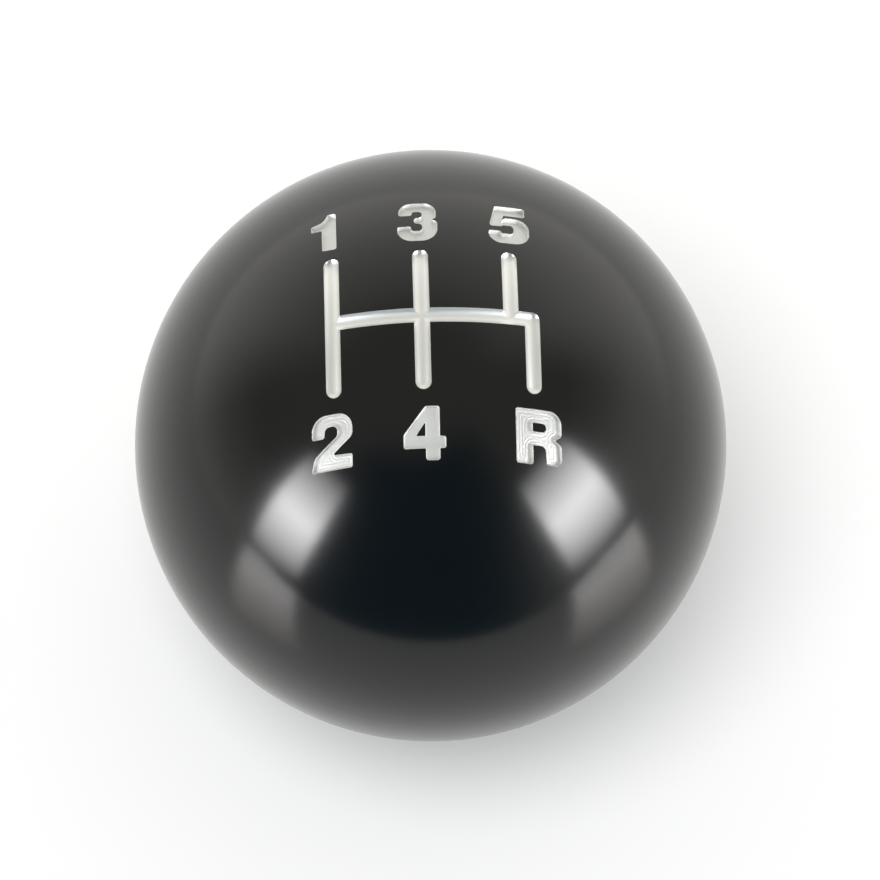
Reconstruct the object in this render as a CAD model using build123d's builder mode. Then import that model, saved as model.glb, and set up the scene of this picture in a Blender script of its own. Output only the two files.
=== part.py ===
"""Ball shift knob, turned in one piece, tapped from below and engraved with its shift gate.

Millimetres and degrees. The origin is the centre of the base flat, +Z runs up the lever's
axis to the crown, and the driver reads the gate from the -Y side.
"""
import os
from math import acos, degrees, radians, sqrt, tan

from build123d import *

# Ball and base flat
ball_diameter = 50.8
base_diameter = 25.0
base_edge_radius = 1.0

# Tapped hole for the lever, M12 x 1.75
thread_diameter = 12.0
thread_pitch = 1.75
thread_depth = 22.0
tap_runout_pitches = 2.0
drill_point_angle = 118.0
mouth_chamfer = 0.5

# Shift gate: lanes for 1-2, 3-4, 5 and R, joined by a cross lane
lane_spacing = 7.47
reverse_step = 1.76
lane_reach = 5.82
cutter_diameter = 1.46
groove_depth = 0.42

# Sizes that follow from the ball
ball_radius = ball_diameter / 2
base_radius = base_diameter / 2
ball_centre_z = sqrt(ball_radius**2 - base_radius**2)
crown_z = ball_centre_z + ball_radius

# Sizes that follow from the thread
drill_radius = (thread_diameter - thread_pitch) / 2
drill_depth = thread_depth + tap_runout_pitches * thread_pitch
drill_tip_depth = drill_depth + drill_radius / tan(radians(drill_point_angle / 2))
mouth_radius = thread_diameter / 2 + mouth_chamfer
mouth_depth = mouth_radius - drill_radius

# The ball-nosed cutter's centre travels on a sphere about the ball's own centre
cutter_radius = cutter_diameter / 2
travel_radius = ball_radius + cutter_radius - groove_depth

# Lanes as x, lowest y and highest y; the gate is centred on the lever's axis
reverse_x = lane_spacing + reverse_step / 2
fifth_x = reverse_x - reverse_step
third_x = fifth_x - lane_spacing
first_x = third_x - lane_spacing
lanes = [
    (first_x, -lane_reach, lane_reach),
    (third_x, -lane_reach, lane_reach),
    (fifth_x, 0, lane_reach),
    (reverse_x, -lane_reach, 0),
]
# Lane ends and the reverse corner: x, y, x of the lane's arc centre, side and turn of the round nose
nose_turns = [
    (first_x, lane_reach, first_x, 1, 180),
    (first_x, -lane_reach, first_x, -1, 180),
    (third_x, lane_reach, third_x, 1, 180),
    (third_x, -lane_reach, third_x, -1, 180),
    (fifth_x, lane_reach, fifth_x, 1, 180),
    (reverse_x, -lane_reach, reverse_x, -1, 180),
    (reverse_x, 0, 0, 1, 90),
]


def travel_z(x, y):
    """Height of the cutter's centre over a point of the gate's plan."""
    return ball_centre_z + sqrt(travel_radius**2 - x**2 - y**2)


def cutter_arc(start, end, radius):
    """Start angle and turn of an arc about the ball's centre, from one plan position back to another."""
    start_angle = degrees(acos(start / radius))
    return start_angle, degrees(acos(end / radius)) - start_angle


with BuildPart() as shift_knob:
    # Turned blank: half section of the ball, standing on its flat
    with BuildSketch(Plane.XZ) as half_section:
        with BuildLine():
            Line((0, 0), (0, crown_z))
            ThreePointArc((0, crown_z), (ball_radius, ball_centre_z), (base_radius, 0))
            Line((base_radius, 0), (0, 0))
        make_face()
        base_corner = half_section.vertices().sort_by(Axis.X)[-1]
        fillet(base_corner, base_edge_radius)
    revolve(axis=Axis.Z)

    # Tapped hole at its drilled size: chamfered mouth, wall and drill point
    with BuildSketch(Plane.XZ):
        with BuildLine():
            Polyline(
                (0, 0),
                (mouth_radius, 0),
                (drill_radius, mouth_depth),
                (drill_radius, drill_depth),
                (0, drill_tip_depth),
                close=True,
            )
        make_face()
    revolve(axis=Axis.Z, mode=Mode.SUBTRACT)

    # Gear lanes: the cutter's round nose follows an arc in a plane of constant x
    for x, y_near, y_far in lanes:
        arc_radius = sqrt(travel_radius**2 - x**2)
        with BuildLine(Plane.YZ.offset(x)) as lane_path:
            CenterArc((0, ball_centre_z), arc_radius, *cutter_arc(y_far, y_near, arc_radius))
        with BuildSketch(Plane(lane_path.line @ 0, z_dir=lane_path.line % 0)):
            Circle(cutter_radius)
        sweep(mode=Mode.SUBTRACT)

    # Cross lane, over the crown between the reverse lane and the first lane
    with BuildLine(Plane.XZ) as cross_path:
        CenterArc((0, ball_centre_z), travel_radius, *cutter_arc(reverse_x, first_x, travel_radius))
    with BuildSketch(Plane(cross_path.line @ 0, z_dir=cross_path.line % 0)):
        Circle(cutter_radius)
    sweep(mode=Mode.SUBTRACT)

    # Round ends: half of the nose's section turned about its own upright
    for x, y, hub_x, side, turn in nose_turns:
        nose = Vector(x, y, travel_z(x, y))
        upright = nose - Vector(hub_x, 0, ball_centre_z)
        across = Vector(0, side, 0).cross(upright)
        with BuildSketch(Plane(nose, x_dir=across, z_dir=across.cross(upright))):
            with BuildLine():
                CenterArc((0, 0), cutter_radius, -90, 180)
                Line((0, cutter_radius), (0, -cutter_radius))
            make_face()
        revolve(axis=Axis(nose, upright), revolution_arc=turn, mode=Mode.SUBTRACT)

shift_knob.part.label = "shift_knob"

os.makedirs("parts", exist_ok=True)
export_step(shift_knob.part, "parts/shift_knob.step")
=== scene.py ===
"""Looks of the ball shift knob: engraved numbers, cut thread, finish, studio and camera."""
from math import acos, asin, atan2, ceil, cos, pi, radians, sin, sqrt, tan

import bpy
import numpy as np
from mathutils import Matrix, Vector
from mathutils.geometry import delaunay_2d_cdt
from mathutils.kdtree import KDTree


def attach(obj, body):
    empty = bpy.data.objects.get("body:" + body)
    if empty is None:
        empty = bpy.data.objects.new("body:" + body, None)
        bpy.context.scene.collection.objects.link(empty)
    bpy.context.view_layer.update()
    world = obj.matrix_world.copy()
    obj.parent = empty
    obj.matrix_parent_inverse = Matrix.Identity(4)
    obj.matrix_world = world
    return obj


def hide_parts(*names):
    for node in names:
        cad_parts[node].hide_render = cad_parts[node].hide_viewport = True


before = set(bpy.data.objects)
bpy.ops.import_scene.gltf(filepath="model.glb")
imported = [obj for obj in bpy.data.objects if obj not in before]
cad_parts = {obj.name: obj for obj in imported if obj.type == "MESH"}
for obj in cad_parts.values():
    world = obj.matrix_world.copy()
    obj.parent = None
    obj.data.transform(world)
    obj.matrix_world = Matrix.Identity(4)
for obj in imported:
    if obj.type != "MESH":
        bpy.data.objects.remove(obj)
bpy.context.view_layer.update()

# Millimetres, as in the part's source; the mesh is scaled to metres when it is made
MM = 0.001

# Ball and base flat
ball_radius = 25.4
base_radius = 12.5
base_edge_radius = 1.0
ball_centre_z = sqrt(ball_radius**2 - base_radius**2)

# Tapped hole, M12 x 1.75
thread_radius = 6.0
thread_pitch = 1.75
thread_depth = 22.0
thread_flank_angle = 30
root_flat = thread_pitch / 8
tap_runout = 2 * thread_pitch
drill_point_angle = 118
mouth_chamfer = 0.5
drill_radius = thread_radius - thread_pitch / 2
drill_depth = thread_depth + tap_runout
drill_tip_depth = drill_depth + drill_radius / tan(radians(drill_point_angle / 2))
mouth_radius = thread_radius + mouth_chamfer

# Shift gate, cut by a ball-nosed cutter whose centre travels about the ball's centre
lane_spacing = 7.47
reverse_step = 1.76
lane_reach = 5.82
cutter_radius = 0.73
groove_depth = 0.42
travel_radius = ball_radius + cutter_radius - groove_depth
lip_angle = acos((ball_radius**2 + travel_radius**2 - cutter_radius**2) / (2 * ball_radius * travel_radius))
reverse_x = lane_spacing + reverse_step / 2
fifth_x = reverse_x - reverse_step
third_x = fifth_x - lane_spacing
first_x = third_x - lane_spacing
lanes = [
    (first_x, -lane_reach, lane_reach),
    (third_x, -lane_reach, lane_reach),
    (fifth_x, 0, lane_reach),
    (reverse_x, -lane_reach, 0),
]

# Numbers: pockets with steep walls, milled in passes that follow the outline
pocket_depth = 0.42
pocket_rim = 0.03
pocket_rim_drop = 0.015
pocket_wall_foot = 0.055
pocket_floor_edge = 0.09
pocket_fillet = 0.03
pocket_pass = 0.26
pass_ridge = 0.022

# Mesh spacing: columns and rows of the turned surfaces, then steps and rows of the engraving
columns = 128
ball_rows = 54
edge_rows = 8
flat_rows = 6
thread_rows = 14
point_rows = 6
cap_radius = 17.5
outline_step = 0.06
pocket_step = 0.055
groove_step = 0.1
edge_step = 0.3
black_step = 1.0
lane_rows = (0.05, 0.12)
pocket_rows = (pocket_rim, pocket_wall_foot, pocket_floor_edge)
row_slack = 0.85
crease_angle = 32

# Finishes of the mesh, in the order of its materials
COAT, LANE, NUMBER, THREAD = range(4)

# Outlines of the numbers in plan: each corner as x, y and its radius
numbers = {
    "1": [[
        (-8.96, 7.44, 0.2), (-7.76, 7.44, 0.2), (-7.76, 11.7, 0.2), (-8.44, 11.7, 0.1),
        (-8.85, 10.85, 0.9), (-9.85, 10.5, 0.15), (-9.85, 9.82, 0.15), (-8.96, 9.82, 0.05),
    ]],
    "3": [[
        (-2.68, 9.06, 0.2), (-2.7, 7.41, 1.25), (0.66, 7.41, 1.35), (0.66, 9.62, 0.45),
        (0.2, 9.8, 0.06), (0.56, 10.0, 0.25), (0.56, 11.8, 1.1), (-2.54, 11.8, 1.1),
        (-2.54, 10.32, 0.2), (-1.46, 10.32, 0.15), (-1.42, 10.76, 0.25), (-0.6, 10.76, 0.33),
        (-0.6, 10.04, 0.33), (-1.28, 10.04, 0.3), (-1.28, 9.4, 0.3), (-0.6, 9.3, 0.33),
        (-0.6, 8.52, 0.33), (-1.5, 8.52, 0.25), (-1.55, 9.06, 0.15),
    ]],
    "5": [[
        (4.92, 8.8, 0.2), (4.92, 7.42, 1.15), (8.32, 7.42, 1.25), (8.32, 10.33, 1.2), (6.35, 10.33, 0.2),
        (6.06, 10.08, 0.02), (6.24, 10.62, 0.05), (8.0, 10.62, 0.2), (8.0, 11.74, 0.2), (5.5, 11.74, 0.15),
        (5.0, 9.32, 0.2), (6.04, 9.32, 0.1), (6.12, 9.46, 0.1), (7.02, 9.46, 0.33), (7.02, 8.52, 0.36),
        (6.0, 8.52, 0.2), (5.94, 8.8, 0.1),
    ]],
    "2": [[
        (-10.2, -11.84, 0.15), (-6.82, -11.84, 0.2), (-6.82, -10.8, 0.2), (-8.5, -10.76, 0.1),
        (-6.78, -9.45, 0.7), (-6.82, -7.64, 1.2), (-10.12, -7.64, 1.2), (-10.12, -9.42, 0.2),
        (-9.12, -9.42, 0.2), (-9.02, -8.6, 0.4), (-8.04, -8.58, 0.4), (-8.04, -9.35, 0.35),
        (-9.95, -10.75, 0.7),
    ]],
    "4": [[
        (-0.8, -11.86, 0.25), (0.38, -11.86, 0.25), (0.38, -10.98, 0.08), (0.88, -10.98, 0.2),
        (0.88, -10.06, 0.2), (0.38, -10.06, 0.08), (0.38, -7.74, 0.2), (-0.76, -7.74, 0.15),
        (-2.62, -9.94, 0.15), (-2.62, -10.98, 0.2), (-0.8, -10.98, 0.08),
    ], [
        (-0.82, -9.0, 0.05), (-1.6, -10.04, 0.05), (-0.82, -10.04, 0.05),
    ]],
    "R": [[
        (6.64, -11.78, 0.2), (8.04, -11.78, 0.2), (8.04, -10.36, 0.1), (9.08, -10.36, 0.4),
        (9.14, -11.68, 0.15), (10.02, -11.68, 0.15), (10.42, -11.3, 0.2), (10.4, -10.15, 0.35),
        (9.86, -9.8, 0.08), (10.42, -9.45, 0.4), (10.42, -7.6, 1.0), (6.64, -7.6, 0.2),
    ], [
        (8.04, -8.66, 0.08), (8.04, -9.32, 0.08), (9.14, -9.32, 0.32), (9.14, -8.66, 0.32),
    ]],
}


def spread(start, end, step):
    """Points from start up to, but not including, end, no further apart than step."""
    count = max(1, ceil((end - start).length / step))
    return [start.lerp(end, i / count) for i in range(count)]


def rounded_outline(corners):
    """Closed outline through the corners, each turned at its radius."""
    arcs = []
    for i, (x, y, radius) in enumerate(corners):
        corner = Vector((x, y))
        back = (Vector(corners[i - 1][:2]) - corner).normalized()
        ahead = (Vector(corners[(i + 1) % len(corners)][:2]) - corner).normalized()
        half = back.angle(ahead) / 2
        centre = corner + (back + ahead).normalized() * radius / sin(half)
        start = corner + back * radius / tan(half) - centre
        turn = (pi - 2 * half) * (1 if back.x * ahead.y - back.y * ahead.x < 0 else -1)
        count = max(1, ceil(abs(turn) * radius / outline_step))
        arcs.append([centre + Matrix.Rotation(turn * k / count, 2) @ start for k in range(count + 1)])
    outline = []
    for arc, following in zip(arcs, arcs[1:] + arcs[:1]):
        outline += arc[:-1] + spread(arc[-1], following[0], outline_step)
    return outline


def lane_lip(x, side):
    """Plan x of a lane's lip, which lies in a plane of constant x."""
    return ball_radius * sin(asin(x / travel_radius) + side * lip_angle)


def nose_lip(x, y, start, end):
    """Plan points of the lip round a lane's end, between two angles from the +X side."""
    centre = Vector((x, y, sqrt(travel_radius**2 - x**2 - y**2))).normalized()
    across = (Vector((1, 0, 0)) - centre * centre.x).normalized()
    along = centre.cross(across)
    count = ceil(abs(end - start) * lip_angle * ball_radius / outline_step)
    points = []
    for k in range(count + 1):
        turn = start + (end - start) * k / count
        ray = centre * cos(lip_angle) + (across * cos(turn) + along * sin(turn)) * sin(lip_angle)
        points.append(ball_radius * ray.xy)
    return points


def gate_outline():
    """Lip of the whole gate, anticlockwise in plan."""
    cross_y = ball_radius * sin(lip_angle)
    runs = []
    for x in (first_x, third_x, reverse_x):
        if x != first_x:
            runs.append([Vector((lane_lip(x, -1), -cross_y))])
        runs.append(nose_lip(x, -lane_reach, pi, 2 * pi))
        if x != reverse_x:
            runs.append([Vector((lane_lip(x, 1), -cross_y))])
    runs.append(nose_lip(reverse_x, 0, 0, pi / 2))
    for x in (fifth_x, third_x, first_x):
        runs.append([Vector((lane_lip(x, 1), cross_y))])
        runs.append(nose_lip(x, lane_reach, 0, pi))
        if x != first_x:
            runs.append([Vector((lane_lip(x, -1), cross_y))])
    outline = []
    for run, following in zip(runs, runs[1:] + runs[:1]):
        outline += run[:-1] + spread(run[-1], following[0], groove_step)
    return outline


def on_ball(plan):
    """Points of the ball, about its centre, over plan points."""
    return np.column_stack([plan, np.sqrt(ball_radius**2 - (plan**2).sum(axis=1))])


def inside(plan, outlines):
    """Which plan points lie inside a set of closed outlines."""
    result = np.zeros(len(plan), bool)
    for outline in outlines:
        ends = np.array(outline)
        for (x0, y0), (x1, y1) in zip(ends, np.roll(ends, -1, axis=0)):
            if y0 != y1:
                crosses = (plan[:, 1] < y0) != (plan[:, 1] < y1)
                result ^= crosses & (plan[:, 0] < x0 + (plan[:, 1] - y0) * (x1 - x0) / (y1 - y0))
    return result


def distance_to(plan, outlines):
    """Distance of each point from the outlines, both taken on the ball."""
    points = on_ball(plan)
    nearest = np.full(len(plan), np.inf)
    for outline in outlines:
        starts = on_ball(np.array(outline))
        for start, run in zip(starts, np.roll(starts, -1, axis=0) - starts):
            offset = points - start
            share = np.clip(offset @ run / (run @ run), 0, 1)
            nearest = np.minimum(nearest, np.linalg.norm(offset - share[:, None] * run, axis=1))
    return nearest


def lane_radius(plan):
    """Distance of a lane's surface from the ball's centre, under the nearest place of the cutter's nose."""
    rays = on_ball(plan) / ball_radius
    paths = [(x, sqrt(travel_radius**2 - x**2), low, high, 1) for x, low, high in lanes]
    paths.append((0, travel_radius, first_x, reverse_x, 0))
    nearest = np.zeros(len(plan))
    for level, arc_radius, low, high, axis in paths:
        turn = np.arctan2(rays[:, axis], rays[:, 2])
        turn = np.clip(turn, asin(low / arc_radius), asin(high / arc_radius))
        centres = np.full((len(plan), 3), float(level))
        centres[:, axis] = arc_radius * np.sin(turn)
        centres[:, 2] = arc_radius * np.cos(turn)
        nearest = np.maximum(nearest, (rays * centres).sum(axis=1))
    nose = cutter_radius**2 - travel_radius**2 + nearest**2
    return np.minimum(nearest - np.sqrt(np.maximum(nose, 0)), ball_radius)


def pocket_radius(plan, outlines):
    """Distance of a number's pocket from the ball's centre: rim, wall, and floor with its passes."""
    run = distance_to(plan, outlines)
    depth = np.interp(run, (0, pocket_rim, pocket_wall_foot, pocket_floor_edge),
                      (0, pocket_rim_drop, pocket_depth - pocket_fillet, pocket_depth))
    passes = np.maximum(run - pocket_floor_edge, 0) / pocket_pass
    return ball_radius - depth + pass_ridge * (2 * np.abs(passes - np.round(passes))) ** 2


def hex_grid(low, high, step):
    """Staggered plan points over a rectangle."""
    rows = np.arange(low[1], high[1], step * sqrt(3) / 2)
    row = np.arange(low[0], high[0], step)
    return np.concatenate([np.column_stack([row + step / 2 * (j % 2), np.full(len(row), y)])
                           for j, y in enumerate(rows)])


def grid_within(outlines, step, clear):
    """Staggered points inside the outlines, kept clear of them."""
    ends = np.array(outlines[0])
    grid = hex_grid(ends.min(axis=0), ends.max(axis=0), step)
    grid = grid[inside(grid, outlines)]
    return grid[distance_to(grid, outlines) > clear]


def inner_row(outlines, offset):
    """Points inside the outlines, one beside each outline point, all at the same distance."""
    rows = []
    for outline in outlines:
        ends = np.array(outline)
        along = np.roll(ends, -1, axis=0) - np.roll(ends, 1, axis=0)
        normal = np.column_stack([-along[:, 1], along[:, 0]])
        rows.append(ends + offset * normal / np.linalg.norm(normal, axis=1)[:, None])
    row = np.concatenate(rows)
    return row[inside(row, outlines) & (distance_to(row, outlines) > row_slack * offset)]


def engraved_points(outlines, rows, step):
    """Plan points inside the outlines: rows down the wall, then a staggered floor."""
    points = [inner_row(outlines, offset) for offset in rows]
    return np.concatenate(points + [grid_within(outlines, step, rows[-1] + step / 2)])


gate = [gate_outline()]
number_outlines = {name: [rounded_outline(corners) for corners in contours]
                   for name, contours in numbers.items()}
for contours in number_outlines.values():
    for hole in contours[1:]:
        hole.reverse()


def black_points(outlines):
    """Staggered points of the black crown, closer together near the engraving."""
    lips = [tuple(point) for outline in outlines for point in outline]
    tree = KDTree(len(lips))
    for i, (x, y) in enumerate(lips):
        tree.insert((x, y, 0), i)
    tree.balance()
    reach = (-cap_radius, -cap_radius), (cap_radius, cap_radius)
    points = []
    # Step, nearest and furthest distance from the engraving
    bands = (edge_step / 2, 0.1, 0.3), (edge_step, 0.3, 0.9), (black_step, 0.9, np.inf)
    for step, nearest, furthest in bands:
        grid = hex_grid(*reach, step)
        grid = grid[np.hypot(*grid.T) < cap_radius - black_step / 2]
        gaps = np.array([tree.find((x, y, 0))[2] for x, y in grid])
        points.append(grid[(gaps > nearest) & (gaps <= furthest)])
    points = np.concatenate(points)
    return points[~inside(points, outlines)]


def engraved_cap(ring):
    """Crown with its engraving: plan points, radii, triangles and the finish of each."""
    outlines = gate + [outline for contours in number_outlines.values() for outline in contours]
    plan, radii, edges = [], [], []
    for outline in [ring] + outlines:
        first = sum(map(len, plan))
        edges += [(first + k, first + (k + 1) % len(outline)) for k in range(len(outline))]
        plan.append(np.array(outline))
        radii.append(np.full(len(outline), ball_radius))
    black = black_points(outlines)
    plan.append(black)
    radii.append(np.full(len(black), ball_radius))
    floor = engraved_points(gate, lane_rows, groove_step)
    plan.append(floor)
    radii.append(lane_radius(floor))
    for contours in number_outlines.values():
        floor = engraved_points(contours, pocket_rows, pocket_step)
        plan.append(floor)
        radii.append(pocket_radius(floor, contours))
    plan = np.concatenate(plan)
    radii = np.concatenate(radii)
    result = delaunay_2d_cdt([Vector(point) for point in plan], edges, [], 0, 1e-9, True)
    found = np.array([point[:] for point in result[0]])
    sources = [origin[0] for origin in result[3]]
    triangles = np.array(result[2])
    middles = found[triangles].mean(axis=1)
    kept = np.hypot(*middles.T) < cap_radius
    finishes = np.full(kept.sum(), COAT)
    finishes[inside(middles[kept], gate)] = LANE
    finishes[inside(middles[kept], outlines[1:])] = NUMBER
    return found, radii[sources], triangles[kept], finishes.tolist()


def thread_wall(turn, z):
    """Radius of the tapped hole at an angle and a height."""
    phase = (z / thread_pitch - turn / (2 * pi)) % 1
    run = abs(phase - 0.5) * thread_pitch - root_flat / 2
    cut = thread_radius - drill_radius - max(0, run) / tan(radians(thread_flank_angle))
    fade = min(1, max(0, (drill_depth - thread_pitch - z) / thread_pitch))
    return max(drill_radius + max(0, cut) * fade, mouth_radius - z)


class Shell:
    """Points, triangles, finishes and exact normals of the one closed mesh."""

    def __init__(self):
        self.points = []
        self.triangles = []
        self.finishes = []
        self.normals = []

    def add_ring(self, points):
        first = len(self.points)
        self.points += points
        return list(range(first, first + len(points)))

    def join(self, upper, lower, finish, normal):
        """Band between two rings; normal gives a point's exact normal, or None."""
        for k in range(columns):
            n = (k + 1) % columns
            self.face((upper[k], lower[k], lower[n]), finish, normal)
            self.face((upper[k], lower[n], upper[n]), finish, normal)

    def face(self, corners, finish, normal):
        self.triangles.append(corners)
        self.finishes.append(finish)
        self.normals += [normal(self.points[i]) if normal else (0, 0, 0) for i in corners]


def ball_normal(point):
    return (Vector(point) - Vector((0, 0, ball_centre_z))).normalized()


def base_normal(point):
    return Vector((0, 0, -1))


turns = [2 * pi * k / columns for k in range(columns)]


def circle(radius, z):
    return [(radius * cos(turn), radius * sin(turn), z) for turn in turns]


def knob_shell():
    """The whole knob: engraved crown, ball, base edge, flat, mouth, thread and drill point."""
    shell = Shell()
    plan, radii, triangles, finishes = engraved_cap([point[:2] for point in circle(cap_radius, 0)])
    heights = on_ball(plan)
    crown = heights * (radii / ball_radius)[:, None] + (0, 0, ball_centre_z)
    shell.add_ring([tuple(point) for point in crown])
    for corners, finish in zip(triangles, finishes):
        shell.face(tuple(int(i) for i in corners), finish, ball_normal if finish == COAT else None)
    ring = list(range(columns))

    edge_centre = sqrt((ball_radius - base_edge_radius) ** 2 - (ball_centre_z - base_edge_radius) ** 2)
    edge_turn = atan2(edge_centre, base_edge_radius - ball_centre_z)
    cap_turn = asin(cap_radius / ball_radius)
    for k in range(1, ball_rows + 1):
        polar = cap_turn + (edge_turn - cap_turn) * k / ball_rows
        below = shell.add_ring(circle(ball_radius * sin(polar), ball_centre_z + ball_radius * cos(polar)))
        shell.join(ring, below, COAT, ball_normal)
        ring = below

    def edge_normal(point):
        middle = Vector((point[0], point[1], 0)).normalized() * edge_centre
        return (Vector(point) - middle - Vector((0, 0, base_edge_radius))).normalized()

    for k in range(1, edge_rows + 1):
        polar = edge_turn + (pi - edge_turn) * k / edge_rows
        below = shell.add_ring(circle(edge_centre + base_edge_radius * sin(polar),
                                      base_edge_radius * (1 + cos(polar))))
        shell.join(ring, below, COAT, edge_normal)
        ring = below
    for k in range(1, flat_rows + 1):
        below = shell.add_ring(circle(edge_centre + (mouth_radius - edge_centre) * k / flat_rows, 0))
        shell.join(ring, below, COAT, base_normal)
        ring = below

    rows = ceil(drill_depth / (thread_pitch / thread_rows))
    for k in range(1, rows + 1):
        z = drill_depth * k / rows
        walls = [thread_wall(turn, z) for turn in turns]
        below = shell.add_ring([(r * cos(turn), r * sin(turn), z) for r, turn in zip(walls, turns)])
        shell.join(ring, below, THREAD, None)
        ring = below
    for k in range(1, point_rows):
        z = drill_depth + (drill_tip_depth - drill_depth) * k / point_rows
        below = shell.add_ring(circle(drill_radius * (1 - k / point_rows), z))
        shell.join(ring, below, THREAD, None)
        ring = below
    tip = shell.add_ring([(0, 0, drill_tip_depth)])[0]
    for k in range(columns):
        shell.face((ring[k], tip, ring[(k + 1) % columns]), THREAD, None)
    return shell


def make_knob(materials):
    """The knob's object, shaded smooth but sharp at every lip and crease."""
    shell = knob_shell()
    mesh = bpy.data.meshes.new("engraved_knob")
    mesh.from_pydata([Vector(point) * MM for point in shell.points], [], shell.triangles)
    for material in materials:
        mesh.materials.append(material)
    mesh.polygons.foreach_set("material_index", shell.finishes)
    mesh.polygons.foreach_set("use_smooth", [True] * len(shell.triangles))
    mesh.set_sharp_from_angle(angle=radians(crease_angle))
    mesh.normals_split_custom_set([Vector(normal) for normal in shell.normals])
    knob = bpy.data.objects.new("engraved_knob", mesh)
    bpy.context.collection.objects.link(knob)
    return knob


def new_material(name):
    material = bpy.data.materials.new(name)
    material.use_nodes = True
    nodes = material.node_tree.nodes
    return material, nodes, material.node_tree.links, nodes["Principled BSDF"]


def black_coat():
    """Satin black coat: nearly black, even gloss, with the faint orange peel of a thin film."""
    material, nodes, links, shader = new_material("satin_black_coat")
    shader.inputs["Base Color"].default_value = (0.0015, 0.0015, 0.0015, 1)
    shader.inputs["IOR"].default_value = 1.45
    place = nodes.new("ShaderNodeTexCoord")
    cloud = nodes.new("ShaderNodeTexNoise")
    cloud.inputs["Scale"].default_value = 180
    cloud.inputs["Detail"].default_value = 4
    links.new(place.outputs["Object"], cloud.inputs["Vector"])
    gloss = nodes.new("ShaderNodeMapRange")
    gloss.inputs["To Min"].default_value = 0.14
    gloss.inputs["To Max"].default_value = 0.18
    links.new(cloud.outputs["Fac"], gloss.inputs["Value"])
    links.new(gloss.outputs["Result"], shader.inputs["Roughness"])
    peel = nodes.new("ShaderNodeTexNoise")
    peel.inputs["Scale"].default_value = 1500
    links.new(place.outputs["Object"], peel.inputs["Vector"])
    bump = nodes.new("ShaderNodeBump")
    bump.inputs["Strength"].default_value = 0.05
    bump.inputs["Distance"].default_value = 0.02 * MM
    links.new(peel.outputs["Fac"], bump.inputs["Height"])
    links.new(bump.outputs["Normal"], shader.inputs["Normal"])
    return material


def cut_aluminium(name, colour, smoothest, roughest):
    """Bare metal left by a cutter: slightly warm, with a fine milled tooth."""
    material, nodes, links, shader = new_material(name)
    shader.inputs["Base Color"].default_value = (*colour, 1)
    shader.inputs["Metallic"].default_value = 1
    place = nodes.new("ShaderNodeTexCoord")
    tooth = nodes.new("ShaderNodeTexNoise")
    tooth.inputs["Scale"].default_value = 9000
    tooth.inputs["Detail"].default_value = 3
    links.new(place.outputs["Object"], tooth.inputs["Vector"])
    gloss = nodes.new("ShaderNodeMapRange")
    gloss.inputs["To Min"].default_value = smoothest
    gloss.inputs["To Max"].default_value = roughest
    links.new(tooth.outputs["Fac"], gloss.inputs["Value"])
    links.new(gloss.outputs["Result"], shader.inputs["Roughness"])
    bump = nodes.new("ShaderNodeBump")
    bump.inputs["Strength"].default_value = 0.3
    bump.inputs["Distance"].default_value = 0.01 * MM
    links.new(tooth.outputs["Fac"], bump.inputs["Height"])
    links.new(bump.outputs["Normal"], shader.inputs["Normal"])
    return material


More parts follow.
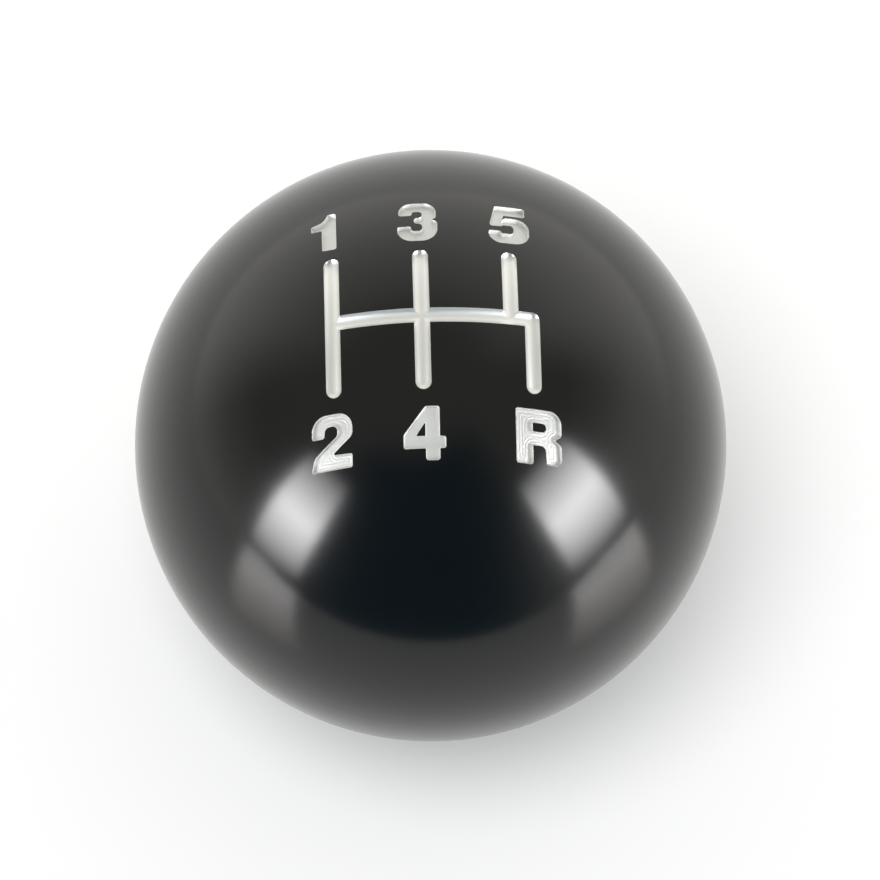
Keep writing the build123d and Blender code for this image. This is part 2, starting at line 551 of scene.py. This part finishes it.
def engraved_aluminium(name, wall, floor, facing_limits, metallic, tooth_size, tooth_depth):
    """Bare metal of the engraving: a dull floor under the cutter's tip, bright walls beside its flank, told
    apart by how each faces; the walls' lighter colour is a painted highlight and the floor's darker colour
    is painted shade.
    """
    material, nodes, links, shader = new_material(name)
    lit_wall_colour, wall_roughness = wall
    shaded_floor_colour, floor_roughness = floor
    place = nodes.new("ShaderNodeTexCoord")
    outward = nodes.new("ShaderNodeVectorMath")
    outward.operation = "SUBTRACT"
    outward.inputs[1].default_value = (0, 0, ball_centre_z * MM)
    links.new(place.outputs["Object"], outward.inputs[0])
    upright = nodes.new("ShaderNodeVectorMath")
    upright.operation = "NORMALIZE"
    links.new(outward.outputs["Vector"], upright.inputs[0])
    facing = nodes.new("ShaderNodeVectorMath")
    facing.operation = "DOT_PRODUCT"
    links.new(upright.outputs["Vector"], facing.inputs[0])
    links.new(place.outputs["Normal"], facing.inputs[1])
    floor_share = nodes.new("ShaderNodeMapRange")
    floor_share.interpolation_type = "SMOOTHSTEP"
    floor_share.inputs["From Min"].default_value = facing_limits[0]
    floor_share.inputs["From Max"].default_value = facing_limits[1]
    links.new(facing.outputs["Value"], floor_share.inputs["Value"])
    tooth = nodes.new("ShaderNodeTexNoise")
    tooth.inputs["Scale"].default_value = 1 / (tooth_size * MM)
    tooth.inputs["Detail"].default_value = 3
    links.new(place.outputs["Object"], tooth.inputs["Vector"])
    dullness = nodes.new("ShaderNodeMapRange")
    dullness.inputs["To Min"].default_value = floor_roughness - 0.1
    dullness.inputs["To Max"].default_value = floor_roughness + 0.1
    links.new(tooth.outputs["Fac"], dullness.inputs["Value"])
    gloss = nodes.new("ShaderNodeMapRange")
    gloss.inputs["To Min"].default_value = wall_roughness
    links.new(floor_share.outputs["Result"], gloss.inputs["Value"])
    links.new(dullness.outputs["Result"], gloss.inputs["To Max"])
    links.new(gloss.outputs["Result"], shader.inputs["Roughness"])
    # Colour by facing: lighter on the walls as a painted highlight, darker on the floor as painted shade
    shade = nodes.new("ShaderNodeValToRGB")
    shade.color_ramp.elements[0].color = (*lit_wall_colour, 1)
    shade.color_ramp.elements[1].color = (*shaded_floor_colour, 1)
    links.new(floor_share.outputs["Result"], shade.inputs["Fac"])
    links.new(shade.outputs["Color"], shader.inputs["Base Color"])
    mirror = nodes.new("ShaderNodeMapRange")
    mirror.inputs["To Min"].default_value = 1
    mirror.inputs["To Max"].default_value = metallic
    links.new(floor_share.outputs["Result"], mirror.inputs["Value"])
    links.new(mirror.outputs["Result"], shader.inputs["Metallic"])
    bump = nodes.new("ShaderNodeBump")
    bump.inputs["Distance"].default_value = tooth_depth * MM
    links.new(tooth.outputs["Fac"], bump.inputs["Height"])
    links.new(bump.outputs["Normal"], shader.inputs["Normal"])
    return material


def white_floor(name, gloss):
    """White floor or table top, lifted a little towards white wherever it is seen as the background."""
    material, nodes, links, shader = new_material(name)
    shader.inputs["Base Color"].default_value = (0.9, 0.9, 0.9, 1)
    shader.inputs["Roughness"].default_value = 0.1
    shader.inputs["IOR"].default_value = 2.1
    shader.inputs["Specular IOR Level"].default_value = gloss
    shader.inputs["Specular Tint"].default_value = (1, 0.9, 0.84, 1)
    rays = nodes.new("ShaderNodeLightPath")
    seen = None
    for ray in ("Is Camera Ray", "Is Glossy Ray", "Is Transmission Ray"):
        if seen is None:
            seen = rays.outputs[ray]
            continue
        either = nodes.new("ShaderNodeMath")
        either.operation = "MAXIMUM"
        links.new(seen, either.inputs[0])
        links.new(rays.outputs[ray], either.inputs[1])
        seen = either.outputs["Value"]
    lift = nodes.new("ShaderNodeMath")
    lift.operation = "MULTIPLY"
    lift.inputs[1].default_value = 0.33
    links.new(seen, lift.inputs[0])
    glow = nodes.new("ShaderNodeEmission")
    mix = nodes.new("ShaderNodeMixShader")
    links.new(lift.outputs["Value"], mix.inputs["Fac"])
    links.new(shader.outputs["BSDF"], mix.inputs[1])
    links.new(glow.outputs["Emission"], mix.inputs[2])
    links.new(mix.outputs["Shader"], nodes["Material Output"].inputs["Surface"])
    return material


# Bare metals: walls and floors as colour and roughness, the walls' lighter colour a painted highlight and
# the floors' darker colour painted shade
knob = make_knob([
    black_coat(),
    engraved_aluminium(
        "lane_metal", wall=((0.78, 0.78, 0.765), 0.38), floor=((0.74, 0.74, 0.715), 0.48),
        facing_limits=(0.65, 0.97), metallic=0.8, tooth_size=0.11, tooth_depth=0.003,
    ),
    engraved_aluminium(
        "number_metal", wall=((0.8, 0.8, 0.78), 0.6), floor=((0.505, 0.505, 0.492), 0.5),
        facing_limits=(0.2, 0.55), metallic=0.4, tooth_size=0.2, tooth_depth=0.032,
    ),
    cut_aluminium("thread_metal", (0.78, 0.78, 0.76), smoothest=0.25, roughest=0.4),
])
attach(knob, "root")
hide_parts("shift_knob")

# Floor under the base flat, and the table that reflections show, which ends in front of the knob
# and at its sides
floor_half = 4.0
table_front = 0.135
table_half = 0.2
table_rise = 0.00002


def make_floor(name, gloss, half, front, z):
    """Level sheet, square to the knob, from its front edge to the far end of the room."""
    mesh = bpy.data.meshes.new(name)
    mesh.from_pydata([(-half, -front, z), (half, -front, z), (half, floor_half, z), (-half, floor_half, z)],
                     [], [(0, 1, 2, 3)])
    mesh.materials.append(white_floor(name, gloss))
    sheet = bpy.data.objects.new(name, mesh)
    bpy.context.collection.objects.link(sheet)
    return sheet


make_floor("floor", gloss=0, half=floor_half, front=floor_half, z=0).visible_glossy = False
table = make_floor("table", gloss=0.5, half=table_half, front=table_front, z=table_rise)
table.visible_camera = False
table.visible_diffuse = False
table.visible_shadow = False

# Camera: on the driver's side, above the ball, aimed at the ball's centre
photo_size = 880
ball_middle = Vector((0, 0, ball_centre_z * MM))
view_turn = radians(2.21)
view_rise = radians(64.86)
view_roll = radians(0.75)
view_distance = 0.54
silhouette_radius = 295.73
silhouette_x = 430.11
silhouette_y = 445.045


def aim(turn, rise):
    """Unit vector from the knob, turned to the left of the driver's side and raised."""
    return Vector((-sin(turn) * cos(rise), -cos(turn) * cos(rise), sin(rise)))


backward = aim(view_turn, view_rise)
level = Vector((0, 0, 1)).cross(backward).normalized()
upward = backward.cross(level)
right = level * cos(view_roll) + upward * sin(view_roll)
camera_data = bpy.data.cameras.new("camera")
focal_pixels = silhouette_radius / tan(asin(ball_radius * MM / view_distance))
camera_data.sensor_width = 36
camera_data.lens = focal_pixels / photo_size * camera_data.sensor_width
camera_data.shift_x = ((photo_size - 1) / 2 - silhouette_x) / photo_size
camera_data.shift_y = (silhouette_y - (photo_size - 1) / 2) / photo_size
camera = bpy.data.objects.new("camera", camera_data)
axes = Matrix((right, backward.cross(right), backward)).transposed()
camera.matrix_world = Matrix.Translation(ball_middle + backward * view_distance) @ axes.to_4x4()
bpy.context.collection.objects.link(camera)
bpy.context.scene.camera = camera


# Lamps hang at one distance from the ball's centre; their angles are in degrees
lamp_distance = 1.5


def facing_knob(lamp, turn, rise):
    """Hangs a lamp at its distance from the ball, turned to face it."""
    hung = bpy.data.objects.new(lamp.name, lamp)
    outward = aim(radians(turn) + view_turn, radians(rise))
    side = Vector((0, 0, 1)).cross(outward).normalized()
    facing = Matrix((side, outward.cross(side), outward)).transposed()
    hung.matrix_world = Matrix.Translation(ball_middle + outward * lamp_distance) @ facing.to_4x4()
    hung.visible_camera = False
    bpy.context.collection.objects.link(hung)
    return hung


def softbox(name, turn, rise, width, height, radiance):
    """Softbox, brightest half-way up, fading to its ends; width and height in degrees from the knob."""
    lamp = bpy.data.lights.new(name, "AREA")
    lamp.shape = "RECTANGLE"
    lamp.size = 2 * lamp_distance * tan(radians(width / 2))
    lamp.size_y = 2 * lamp_distance * tan(radians(height / 2))
    lamp.energy = 2 * radiance * pi * lamp.size * lamp.size_y
    lamp.color = (0.99, 0.985, 1)
    lamp.use_nodes = True
    nodes = lamp.node_tree.nodes
    links = lamp.node_tree.links
    place = nodes.new("ShaderNodeNewGeometry")
    across = nodes.new("ShaderNodeSeparateXYZ")
    links.new(place.outputs["Parametric"], across.inputs["Vector"])
    fade = nodes.new("ShaderNodeMath")
    fade.operation = "PINGPONG"
    fade.inputs[1].default_value = 0.5
    links.new(across.outputs["Y"], fade.inputs[0])
    links.new(fade.outputs["Value"], nodes["Emission"].inputs["Strength"])
    facing_knob(lamp, turn, rise).visible_diffuse = False


def overhead_key(turn, rise, half_width, radiance):
    """Round overhead lamp for the floor and its shadow; half_width in degrees from the knob."""
    lamp = bpy.data.lights.new("overhead_key", "AREA")
    lamp.shape = "DISK"
    lamp.size = 2 * lamp_distance * tan(radians(half_width))
    lamp.energy = radiance * pi * pi / 4 * lamp.size**2
    facing_knob(lamp, turn, rise).visible_glossy = False


softbox("left_softbox", turn=52.4, rise=16.5, width=20.2, height=47, radiance=23.5)
softbox("right_softbox", turn=-59.6, rise=17, width=26.2, height=45.5, radiance=23.5)
overhead_key(turn=40.7, rise=72.7, half_width=17.7, radiance=7)


def studio_world():
    """Soft room light: a bright wall behind, plain sides, dim overhead, and dark where the camera is."""
    world = bpy.data.worlds.new("studio")
    world.use_nodes = True
    nodes = world.node_tree.nodes
    links = world.node_tree.links
    place = nodes.new("ShaderNodeTexCoord")
    direction = place.outputs["Generated"]

    def across(operation, value, vector):
        node = nodes.new("ShaderNodeVectorMath")
        node.operation = operation
        node.inputs[1].default_value = vector
        links.new(value, node.inputs[0])
        return node.outputs["Value" if operation in ("LENGTH", "DOT_PRODUCT") else "Vector"]

    def eased(value, low, high):
        node = nodes.new("ShaderNodeMapRange")
        node.interpolation_type = "SMOOTHSTEP"
        node.inputs["From Min"].default_value = low
        node.inputs["From Max"].default_value = high
        links.new(value, node.inputs["Value"])
        return node.outputs["Result"]

    def blend(share, first, second):
        node = nodes.new("ShaderNodeMix")
        node.data_type = "RGBA"
        links.new(share, node.inputs["Factor"])
        for value, socket in ((first, node.inputs["A"]), (second, node.inputs["B"])):
            if isinstance(value, tuple):
                socket.default_value = (*value, 1)
            else:
                links.new(value, socket)
        return node.outputs["Result"]

    def graded(value, stops):
        node = nodes.new("ShaderNodeValToRGB")
        for k, (height, colour) in enumerate(stops):
            stop = node.color_ramp.elements[k] if k < 2 else node.color_ramp.elements.new(height)
            stop.position = height
            stop.color = (*colour, 1)
        links.new(value, node.inputs["Fac"])
        return node.outputs["Color"]

    overhead = (0.245, 0.245, 0.225)
    height = across("DOT_PRODUCT", direction, (-0.14, 0, 0.99))
    wall = graded(height, (
        (0.0, (0.83, 0.815, 0.77)), (0.3, (0.755, 0.745, 0.705)), (0.5, (0.635, 0.63, 0.595)),
        (0.75, (0.455, 0.455, 0.43)), (0.95, overhead),
    ))
    sides = graded(height, (
        (0.0, (0.54, 0.54, 0.52)), (0.25, (0.345, 0.345, 0.33)), (0.5, (0.215, 0.215, 0.205)),
        (0.8, overhead),
    ))
    level = across("NORMALIZE", across("MULTIPLY", direction, (1, 1, 0)), (0, 0, 0))
    colour = blend(eased(across("DOT_PRODUCT", level, (0, 1, 0)), 0.12, 0.65), sides, wall)
    in_front = eased(across("DOT_PRODUCT", level, (-0.09, -0.996, 0)), 0.5, 0.95)
    colour = blend(in_front, colour, (0.04, 0.083, 0.11))
    colour = blend(eased(height, 0.8, 0.97), colour, overhead)
    background = nodes["Background"]
    background.inputs["Strength"].default_value = 2
    links.new(colour, background.inputs["Color"])
    bpy.context.scene.world = world


studio_world()
bpy.context.scene.view_settings.view_transform = "Standard"
